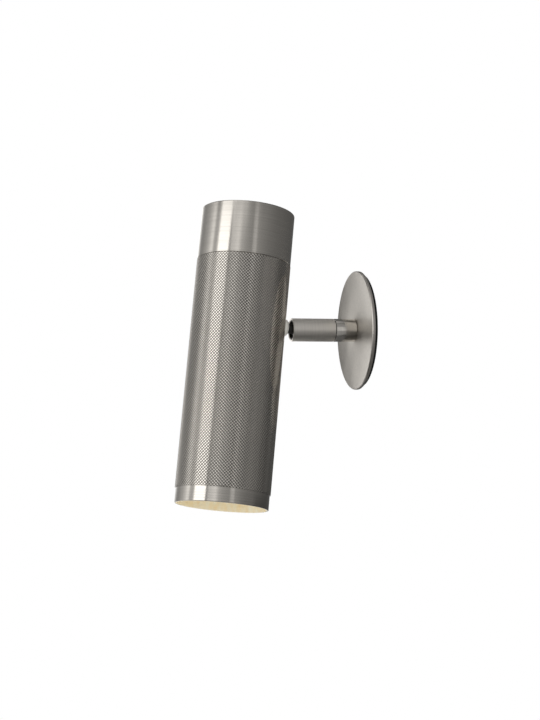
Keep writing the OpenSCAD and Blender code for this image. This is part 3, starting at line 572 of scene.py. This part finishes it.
def knurl_tree():
    """A tube whose outside is a field of flat-topped diamonds with crossing grooves between them."""
    tree, size = growing_tree("diamond knurl", {
        "Round": "Int", "Rows": "Int", "Crest": "Float", "Depth": "Float", "Flat": "Float",
        "Bore": "Float", "Low": "Float", "High": "Float", "Merge": "Float", "Finish": "Material",
    })
    math = partial(shader_math, tree)
    valley = math("SUBTRACT", size["Crest"], size["Depth"])
    steps = math("ADD", size["Rows"], size["Round"])

    # A grid turned by 45 degrees: one way of it climbs to the right, the other to the left
    grid = grid_of(tree, math("ADD", size["Round"], 1), math("ADD", steps, 1))
    spot = spot_parts(tree)
    right_hand = math("MULTIPLY", math("ADD", spot["X"], 0.5), size["Round"])
    left_hand = math("SUBTRACT", math("MULTIPLY", math("ADD", spot["Y"], 0.5), steps), size["Round"])
    row = math("ADD", right_hand, left_hand)
    below = math("LESS_THAN", row, -0.5)
    above = math("GREATER_THAN", row, math("ADD", size["Rows"], 0.5))
    strip = add(tree, "GeometryNodeDeleteGeometry", {
        "Geometry": grid, "Selection": math("MAXIMUM", below, above),
    }, domain="FACE").outputs[0]
    turn = math("DIVIDE", math("MULTIPLY", math("SUBTRACT", right_hand, left_hand), pi), size["Round"])
    share = math("DIVIDE", math("MINIMUM", math("MAXIMUM", row, 0.0), size["Rows"]), size["Rows"])
    height = math("ADD", size["Low"], math("MULTIPLY", share, math("SUBTRACT", size["High"], size["Low"])))
    flat = moved(tree, strip, X=math("MULTIPLY", turn, size["Crest"]), Y=height)

    # Each diamond rises to its flat top
    raised = add(tree, "GeometryNodeExtrudeMesh", {
        "Mesh": flat, "Offset Scale": size["Depth"], "Individual": True,
    }, mode="FACES").outputs
    topped = add(tree, "GeometryNodeScaleElements", {
        "Geometry": raised["Mesh"], "Selection": raised["Top"], "Scale": size["Flat"],
    }, domain="FACE").outputs[0]
    spot = spot_parts(tree)
    outer = rolled_up(tree, topped, math("ADD", valley, spot["Z"]), math("DIVIDE", spot["X"], size["Crest"]),
                      spot["Y"])

    # Bore and ends, from the upper edge round the inside to the lower edge
    sides = math("MULTIPLY", size["Round"], 2)
    band = grid_of(tree, math("ADD", sides, 1), 4)
    spot = spot_parts(tree)
    way = math("ROUND", math("MULTIPLY", math("ADD", spot["Y"], 0.5), 3.0))
    inner = math("MULTIPLY", math("GREATER_THAN", way, 0.5), math("LESS_THAN", way, 2.5))
    radius = math("ADD", valley, math("MULTIPLY", inner, math("SUBTRACT", size["Bore"], valley)))
    bend = math("MULTIPLY", math("ADD", spot["X"], 0.5), 2 * pi)
    drop = math("MULTIPLY", math("GREATER_THAN", way, 1.5), math("SUBTRACT", size["Low"], size["High"]))
    lining = rolled_up(tree, band, radius, bend, math("ADD", size["High"], drop))
    both = tree.nodes.new("GeometryNodeJoinGeometry")
    tree.links.new(outer, both.inputs[0])
    tree.links.new(lining, both.inputs[0])
    closed = add(tree, "GeometryNodeMergeByDistance", {"Geometry": both.outputs[0], "Distance": size["Merge"]})
    end_tree(tree, closed.outputs[0], size["Finish"])
    return tree


def lenslet_tree():
    """Small domes in a close hexagonal field on the lamp's lens."""
    tree, size = growing_tree("lens domes", {
        "Count": "Int", "Pitch": "Float", "Reach": "Float", "Dome": "Float", "Rise": "Float",
        "Finish": "Material",
    })
    math = partial(shader_math, tree)
    width = math("MULTIPLY", size["Pitch"], math("SUBTRACT", size["Count"], 1))
    grid = grid_of(tree, size["Count"], size["Count"], width)
    spot = spot_parts(tree)
    line = math("ROUND", math("DIVIDE", spot["Y"], size["Pitch"]))
    shift = math("MULTIPLY", math("FLOORED_MODULO", line, 2.0), math("MULTIPLY", size["Pitch"], 0.5))
    field = moved(tree, grid, X=math("ADD", spot["X"], shift), Y=math("MULTIPLY", spot["Y"], 0.866))
    away = add(tree, "ShaderNodeVectorMath", {0: own_spot(tree)}, operation="LENGTH").outputs["Value"]
    kept = add(tree, "GeometryNodeDeleteGeometry", {
        "Geometry": field, "Selection": math("GREATER_THAN", away, size["Reach"]),
    }, domain="POINT").outputs[0]
    dome = add(tree, "GeometryNodeMeshUVSphere", {"Segments": 10, "Rings": 6, "Radius": size["Dome"]}).outputs[0]
    smooth = add(tree, "GeometryNodeSetShadeSmooth", {"Geometry": dome}).outputs[0]
    low = add(tree, "ShaderNodeCombineXYZ", {
        "X": 1.0, "Y": 1.0, "Z": math("DIVIDE", size["Rise"], size["Dome"]),
    }).outputs[0]
    domes = add(tree, "GeometryNodeInstanceOnPoints", {"Points": kept, "Instance": smooth, "Scale": low})
    end_tree(tree, domes.outputs[0], size["Finish"])
    return tree


# The light's pieces; in a profile, a corner's third number is its own rounding

KNURL_MERGE = 0.004


def knurled_sleeve(finish):
    """Tube with its knurl and the hole for the stem."""
    mesh = grown("knurled_tube", knurl_tree(), {
        "Round": round(2 * pi * TUBE_R / KNURL_PITCH),
        "Rows": round((SLEEVE_TOP - SLEEVE_LOW) / (KNURL_PITCH / 2)),
        "Crest": TUBE_R * MM, "Depth": KNURL_DEPTH * MM, "Flat": KNURL_FLAT_SHARE,
        "Bore": (TUBE_R - TUBE_WALL) * MM, "Low": SLEEVE_LOW * MM, "High": SLEEVE_TOP * MM,
        "Merge": KNURL_MERGE * MM, "Finish": finish,
    })
    hole_start = Matrix.Translation((0, 0, (TUBE_R - STEM_HOLE_START) * MM))
    toward_wall = Matrix.Rotation(radians(-90), 4, "X") @ hole_start
    mesh = drilled(mesh, STEM_HOLE_R, STEM_HOLE_LENGTH, toward_wall)
    return plain_piece("knurled_tube", mesh, AT_TUBE, finish, "head", "satin_steel", "knurled_sleeve")


def top_cap(finish):
    """Cap with its spigot in the tube."""
    under = CAP_TOP - CAP_PLATE
    inside = SPIGOT_R - CAP_WALL
    low = SLEEVE_TOP - SPIGOT_L
    profile = rounded([
        (0, under), (inside, under), (inside, low), (SPIGOT_R, low), (SPIGOT_R, SLEEVE_TOP, 0),
        (CAP_R - EDGE, SLEEVE_TOP, 0.1), (CAP_R, SLEEVE_TOP + EDGE, 0.12),
        (CAP_R, CAP_TOP - EDGE, 0.2), (CAP_R - EDGE, CAP_TOP, 0.2), (0, CAP_TOP),
    ], 0.15)
    return plain_piece("cap", lathe("cap", profile), AT_TUBE, finish, "head", "satin_steel", "top_cap")


def bottom_ring(finish):
    """Ring with its spigot in the tube and its seat for the cone."""
    top = SLEEVE_LOW + SPIGOT_L
    share = (top - SLEEVE_LOW) / (CONE_TOP_Z - SLEEVE_LOW)
    top_in = CONE_THROAT_R + (CONE_TOP_R - CONE_THROAT_R) * share + CONE_CLEAR
    profile = rounded([
        (CONE_RIM_R + CONE_CLEAR, RIM_Z, 0.08), (RING_R - EDGE / 2, RIM_Z, 0.08),
        (RING_R, RIM_Z + EDGE / 2, 0.08), (RING_R, SLEEVE_LOW, 0), (SPIGOT_R, SLEEVE_LOW, 0),
        (SPIGOT_R, top, 0.1), (top_in, top, 0), (CONE_THROAT_R + CONE_CLEAR, SLEEVE_LOW, 0),
    ], 0.1)
    return plain_piece("ring", lathe("ring", profile), AT_TUBE, finish, "head", "satin_steel", "bottom_ring")


def glare_cone(finish):
    """Cone in two stages, from the rim to the lamp."""
    profile = rounded([
        (CONE_RIM_R - CONE_WALL, RIM_Z, 0.2), (CONE_RIM_R, RIM_Z, 0.1), (CONE_THROAT_R, SLEEVE_LOW, 0),
        (CONE_TOP_R, CONE_TOP_Z, 0.1), (CONE_TOP_R - CONE_WALL, CONE_TOP_Z, 0.2),
        (CONE_THROAT_R - CONE_WALL, SLEEVE_LOW, 0),
    ], 0.1)
    return plain_piece("cone", lathe("cone", profile), AT_TUBE, finish, "head", "gold_cone", "glare_cone")


def wall_disc(finish):
    """Thin cover disc with a chamfered edge."""
    profile = rounded([
        (NIPPLE_HOLE_R, DISC_BACK, 0.1), (DISC_R, DISC_BACK, 0.1), (DISC_R, DISC_FRONT - DISC_CHAMFER, 0.15),
        (DISC_R - DISC_CHAMFER, DISC_FRONT, 0.15), (NIPPLE_HOLE_R, DISC_FRONT, 0.1),
    ], 0.1)
    return plain_piece("cover_disc", lathe("cover_disc", profile), AT_WALL, finish,
                       "wall_body", "satin_steel", "wall_disc")


def arm_tube(finish):
    """Arm sleeve, its open end chamfered and its web at the seam."""
    profile = rounded([
        (ARM_WEB_BORE_R, SLEEVE_START, 0.1), (ARM_R, SLEEVE_START, 0.12), (ARM_R, ARM_END - EDGE / 2, 0.08),
        (ARM_R - EDGE / 2, ARM_END, 0.08), (ARM_BORE_R + RIM_CHAMFER, ARM_END, 0.08),
        (ARM_BORE_R, ARM_END - RIM_CHAMFER, 0.08), (ARM_BORE_R, ARM_WEB_END, 0),
        (ARM_WEB_BORE_R, ARM_WEB_END, 0),
    ], 0.1)
    return plain_piece("arm_tube", lathe("arm_tube", profile, ARM_SIDES), AT_ARM, finish,
                       "arm", "satin_steel", "arm_sleeve")


def stub(finish):
    """Polished stub on the disc."""
    profile = rounded([
        (STUD_BORE_R, STUB_START, 0), (ARM_R - EDGE, STUB_START, 0.1), (ARM_R, STUB_START + EDGE, 0.15),
        (ARM_R, STUB_END, 0.12), (STUD_BORE_R, STUB_END, 0),
    ], 0.1)
    return plain_piece("stub", lathe("stub", profile, ARM_SIDES), AT_WALL, finish,
                       "wall_body", "polished_steel", "arm_stub")


def lamp_lens(finish):
    """Lens plate with its field of domes."""
    face = LENS_Z + LENS_FACE
    back = LENS_Z + LENS_T
    domes = grown("lens_domes", lenslet_tree(), {
        "Count": DOME_ROW, "Pitch": DOME_PITCH * MM, "Reach": (LENS_R - DOME_MARGIN) * MM,
        "Dome": DOME_R * MM, "Rise": DOME_RISE * MM, "Finish": finish,
    })
    domes.transform(Matrix.Translation((0, 0, (face + DOME_SEAT) * MM)))
    plate = rounded([(0, face), (LENS_R, face, 0.2), (LENS_R, back, 0.1), (0, back)], 0.1)
    shape = bmesh.new()
    shape.from_mesh(lathe("lens_plate", plate, LENS_SIDES))
    shape.from_mesh(domes)
    return plain_piece("lens", filled_mesh("lens", shape), AT_TUBE, finish, "head", "lamp_lens", "lamp_lens")


# Stage

def camera():
    """Camera at the photograph's place."""
    back = Vector((sin(VIEW_TURN) * cos(VIEW_RISE), -cos(VIEW_TURN) * cos(VIEW_RISE), sin(VIEW_RISE)))
    lens = bpy.data.cameras.new("view")
    lens.lens = VIEW_LENS
    lens.sensor_width = VIEW_SENSOR
    lens.clip_start = VIEW_NEAREST
    eye = new_object("view", lens)
    eye.location = VIEW_TARGET + back * VIEW_DISTANCE
    eye.rotation_euler = (-back).to_track_quat("-Z", "Y").to_euler()
    bpy.context.scene.camera = eye


# The studio as metal sees it: degrees round the light from the view, more to the right, and the level there
MIDDLE = (
    (-162, 0.90), (-149, 0.85), (-144, 0.38), (-130, 0.35), (-111, 0.54), (-101, 0.80), (-93, 1.2), (-87, 1.2),
    (-84.5, 0.66), (-76, 0.62), (-71, 0.95), (-69.5, 2.2), (-40.5, 2.2), (-39.5, 0.35), (-35.5, 0.42),
    (-34, 0.80), (-25, 0.95), (-16, 1.12), (-12, 0.92), (-7, 0.62), (3, 0.47), (13, 0.40), (19.5, 0.36),
    (21.5, 0.62), (29.5, 0.72), (31, 0.42), (43, 0.34), (60, 0.26), (85, 0.20), (110, 0.17), (145, 0.12),
    (180, 0.12),
)
HIGH = (
    (-162, 0.2), (-120, 0.1), (-84, 0.1), (-66, 1.2), (-40, 1.2), (-28, 0.8), (0, 0.8), (12, 0.4), (20, 0.35),
    (38, 0.35), (46, 0.2), (74, 0.3), (86, 0.03), (180, 0.2),
)
LOW = (
    (-162, 0.3), (-124, 0.3), (-110, 0.9), (-92, 0.6), (-72, 0.3), (-52, 0.03), (-8, 0.03), (8, 0.3),
    (18, 0.4), (36, 0.3), (44, 0.05), (75, 0.15), (90, 0.05), (180, 0.1),
)
STUDIO_RADIUS = 1.6
STUDIO_CENTRE = Vector((0, -0.08, 0))
STUDIO_START, STUDIO_END, STUDIO_STEP = -162, 180, 3
WALL_ROWS = ((-0.44, LOW), (-0.27, LOW), (-0.11, MIDDLE), (0.78, MIDDLE), (1.15, HIGH), (1.9, HIGH))
# Ceiling and ground: reach as a share of the can's radius or of the near ground's, and levels
CEILING_START = 0.45
CEILING_FULL = 0.25
CENTRE_GAP = 0.02
CEILING_LEVEL = 0.5
NEAR_GROUND = 0.3
GROUND_EDGE = 1.1
FRONT_GROUND_LEVEL = 0.03
BACK_GROUND_LEVEL = 0.14
# Cards close to the disc, behind it in the view: the reach of y, and the level
CARDS_X = -0.075
CARDS_Z = (-0.12, 0.12)
CARDS = (((-0.04, 0.03), 0.12), ((-0.11, -0.04), 1.5))


def level_at(row, turn):
    """Level of a studio row in a direction, on the straight line between its two neighbours."""
    for (start, first), (end, last) in zip(row, row[1:]):
        if start <= turn <= end:
            return first + (last - first) * (turn - start) / (end - start)
    return row[0][1]


def glow(name):
    """Finish that shines at the level that the mesh carries."""
    finish = bpy.data.materials.new(name)
    finish.use_nodes = True
    tree = finish.node_tree
    tree.nodes.clear()
    level = add(tree, "ShaderNodeAttribute", attribute_name="level").outputs["Fac"]
    light = add(tree, "ShaderNodeEmission", {"Color": (1, 1, 1, 1), "Strength": level})
    add(tree, "ShaderNodeOutputMaterial", {"Surface": light.outputs[0]})
    return finish


def studio_piece(name, points, faces, levels):
    """A part of the studio that only shows in reflections."""
    mesh = bpy.data.meshes.new(name)
    mesh.from_pydata(points, [], faces)
    mesh.attributes.new("level", "FLOAT", "POINT").data.foreach_set("value", levels)
    mesh.materials.append(glow(name))
    piece = new_object(name, mesh)
    piece.visible_camera = False
    piece.visible_diffuse = False
    piece.visible_shadow = False
    piece.visible_transmission = False
    piece.visible_volume_scatter = False


def studio():
    """Can round the light whose levels follow the studio's rows; a gap at the back shows the white room."""
    turns = sorted({t for t, _ in MIDDLE} | set(range(STUDIO_START, STUDIO_END + 1, STUDIO_STEP)))
    rim, low_z, high_z = STUDIO_RADIUS, WALL_ROWS[0][0], WALL_ROWS[-1][0]
    points, levels = [], []
    for turn in turns:
        angle = VIEW_ANGLE + radians(turn)
        out = Vector((cos(angle), sin(angle), 0))
        near = FRONT_GROUND_LEVEL if out.y < 0 else BACK_GROUND_LEVEL
        column = [
            (NEAR_GROUND * CENTRE_GAP, low_z, near), (NEAR_GROUND, low_z, near),
            (NEAR_GROUND * GROUND_EDGE, low_z, level_at(LOW, turn)),
            *((rim, z, level_at(row, turn)) for z, row in WALL_ROWS),
            (rim * CEILING_START, high_z, level_at(HIGH, turn)),
            (rim * CEILING_FULL, high_z, CEILING_LEVEL), (rim * CENTRE_GAP, high_z, CEILING_LEVEL),
        ]
        for radius, z, level in column:
            points.append(tuple(STUDIO_CENTRE + out * radius + Vector((0, 0, z))))
            levels.append(level)
    high = len(points) // len(turns)
    faces = [(i * high + k, i * high + k + 1, (i + 1) * high + k + 1, (i + 1) * high + k)
             for i in range(len(turns) - 1) for k in range(high - 1)]
    studio_piece("studio", points, faces, levels)


def cards():
    """Two upright cards that give the disc its slow change from dark to light."""
    low, high = CARDS_Z
    for i, ((left, right), level) in enumerate(CARDS):
        corners = [(CARDS_X, left, low), (CARDS_X, right, low), (CARDS_X, right, high), (CARDS_X, left, high)]
        studio_piece(f"card_{i}", corners, [(0, 1, 2, 3)], [level] * len(corners))


FLOOR_CENTRE = Vector((0, -0.08, -0.45))
FLOOR_REACH = 0.9
FLOOR_SIDES = 96
FADE_FROM = 0.45
FADE_TO = 0.85


def floor():
    """Plain pale floor under the light; it fades out towards its edge and shows only from above."""
    finish, tree, shader = new_finish("pale floor")
    grain = noise(tree, piece_place(tree), scale=30.0)
    tones(tree, shader, grain, FLOOR_DARK, FLOOR_LIGHT)
    shader.inputs["Roughness"].default_value = 0.9
    spot = add(tree, "ShaderNodeTexCoord").outputs["Object"]
    away = add(tree, "ShaderNodeVectorMath", {0: spot, 1: FLOOR_CENTRE}, operation="DISTANCE").outputs["Value"]
    above = shader_math(tree, "SUBTRACT", 1.0, add(tree, "ShaderNodeNewGeometry").outputs["Backfacing"])
    faded = spread(tree, away, 1, 0, FADE_FROM, FADE_TO)
    tree.links.new(shader_math(tree, "MULTIPLY", faded, above), shader.inputs["Alpha"])
    shape = bmesh.new()
    bmesh.ops.create_circle(shape, cap_ends=True, segments=FLOOR_SIDES, radius=FLOOR_REACH)
    mesh = filled_mesh("floor", shape)
    mesh.transform(Matrix.Translation(FLOOR_CENTRE))
    mesh.materials.append(finish)
    new_object("floor", mesh)


AMBIENT = 0.82


def white_room():
    """White surroundings: full white to the camera, metal and glass, plain light to the rest."""
    world = bpy.data.worlds.new("white room")
    world.use_nodes = True
    bpy.context.scene.world = world
    tree = world.node_tree
    tree.nodes.clear()
    math = partial(shader_math, tree)
    path = add(tree, "ShaderNodeLightPath").outputs
    gloss_or_glass = math("MAXIMUM", path["Is Glossy Ray"], path["Is Transmission Ray"])
    seen = math("MAXIMUM", path["Is Camera Ray"], gloss_or_glass)
    level = math("ADD", AMBIENT, math("MULTIPLY", seen, 1 - AMBIENT))
    back = add(tree, "ShaderNodeBackground", {"Color": (1, 1, 1, 1), "Strength": level})
    add(tree, "ShaderNodeOutputWorld", {"Surface": back.outputs[0]})


LAMP_PLACE = Vector((0.9, -1.1, 1.2))
LAMP_SIZE = 0.9
LAMP_POWER = 14


def soft_lamp():
    """Large soft lamp from the upper front, for what isn't metal."""
    light = bpy.data.lights.new("key", "AREA")
    light.shape = "DISK"
    light.size = LAMP_SIZE
    light.energy = LAMP_POWER
    lamp = new_object("key", light)
    lamp.location = LAMP_PLACE
    lamp.rotation_euler = (STUDIO_CENTRE - LAMP_PLACE).to_track_quat("-Z", "Y").to_euler()
    lamp.visible_glossy = False
    lamp.visible_camera = False


def stage():
    camera()
    white_room()
    studio()
    cards()
    floor()
    soft_lamp()


def dress(finish, *names):
    """Gives construction nodes that stay a better finish."""
    for name in names:
        mesh = NODES[name].data
        mesh.materials.clear()
        mesh.materials.append(finish)


def build():
    tube_steel = turned_steel("turned steel of the tube", STEEL, roughness=0.17, grain=0.9, place=AT_TUBE)
    knurl_steel = knurled_steel("steel of the knurl", STEEL, roughness=0.14, place=AT_TUBE)
    arm_steel = turned_steel("turned steel of the arm", ARM_STEEL, roughness=0.45, grain=0.5, place=AT_ARM)
    disc_steel = blasted_steel("satin steel of the disc", STEEL, roughness=0.40, place=AT_WALL)
    stub_steel = turned_steel("polished steel of the stub", POLISHED, roughness=0.12, grain=0.3,
                              place=AT_WALL, line_depth=0.05)
    knurled_sleeve(knurl_steel)
    top_cap(tube_steel)
    bottom_ring(tube_steel)
    glare_cone(gold_inside("soft gold", AT_TUBE))
    wall_disc(disc_steel)
    arm_tube(arm_steel)
    stub(stub_steel)
    lamp_lens(frosted_lens("frosted lens"))

    dress(black_coat("black coat", BLACK, roughness=0.62, shine=0.12), "base_plate")
    # painted shade in part: the ball stem and its retainer are near black, partly their dark steel and partly
    # painted shade inside the joint
    dress(black_coat("dark steel and painted joint shade", DARK_STEEL_AND_JOINT_SHADE, roughness=0.32), "ball_stem", "ball_retainer")
    dress(milled_metal("polished steel", COLLAR_STEEL, roughness=0.45, metallic=0.3), "stem_collar")
    dress(milled_metal("plain steel", PLAIN_STEEL, roughness=0.34), "stop_pin", "thrust_washer",
          "disc_springs", "trunnion_pins", "cone_snap_ring", "holder_bracket", "stem_washer",
          "holder_screws", "holder_nuts")
    dress(milled_metal("brass", BRASS, roughness=0.28), "centre_nipple", "plate_nut", "swivel_stud",
          "swivel_ring_nut", "friction_washer", "stem_nut", "pin_contacts", "lamp_pins", "earth_screw",
          "earth_lug")
    dress(moulded("dark nylon", DARK_NYLON, roughness=0.45), "cable_bush", "swivel_bush", "ball_seat",
          "saddle_spacer", "cable_tie")
    dress(moulded("fired ceramic", CERAMIC, roughness=0.30, pore=900.0, depth=0.3), "lamp_holder")
    dress(moulded("white lamp body", LAMP_WHITE, roughness=0.36, pore=1500.0, depth=0.2), "lamp_body")
    dress(sheathed_lead("lead at the wall"), "arm_lead")
    dress(moulded("lead sheath", SHEATH, roughness=0.48), "head_lead")
    for name, (label, colour) in CORES.items():
        dress(moulded(label, colour, roughness=0.42, pore=2600.0), name)


stage()
build()
bpy.context.scene.view_settings.view_transform = "Standard"
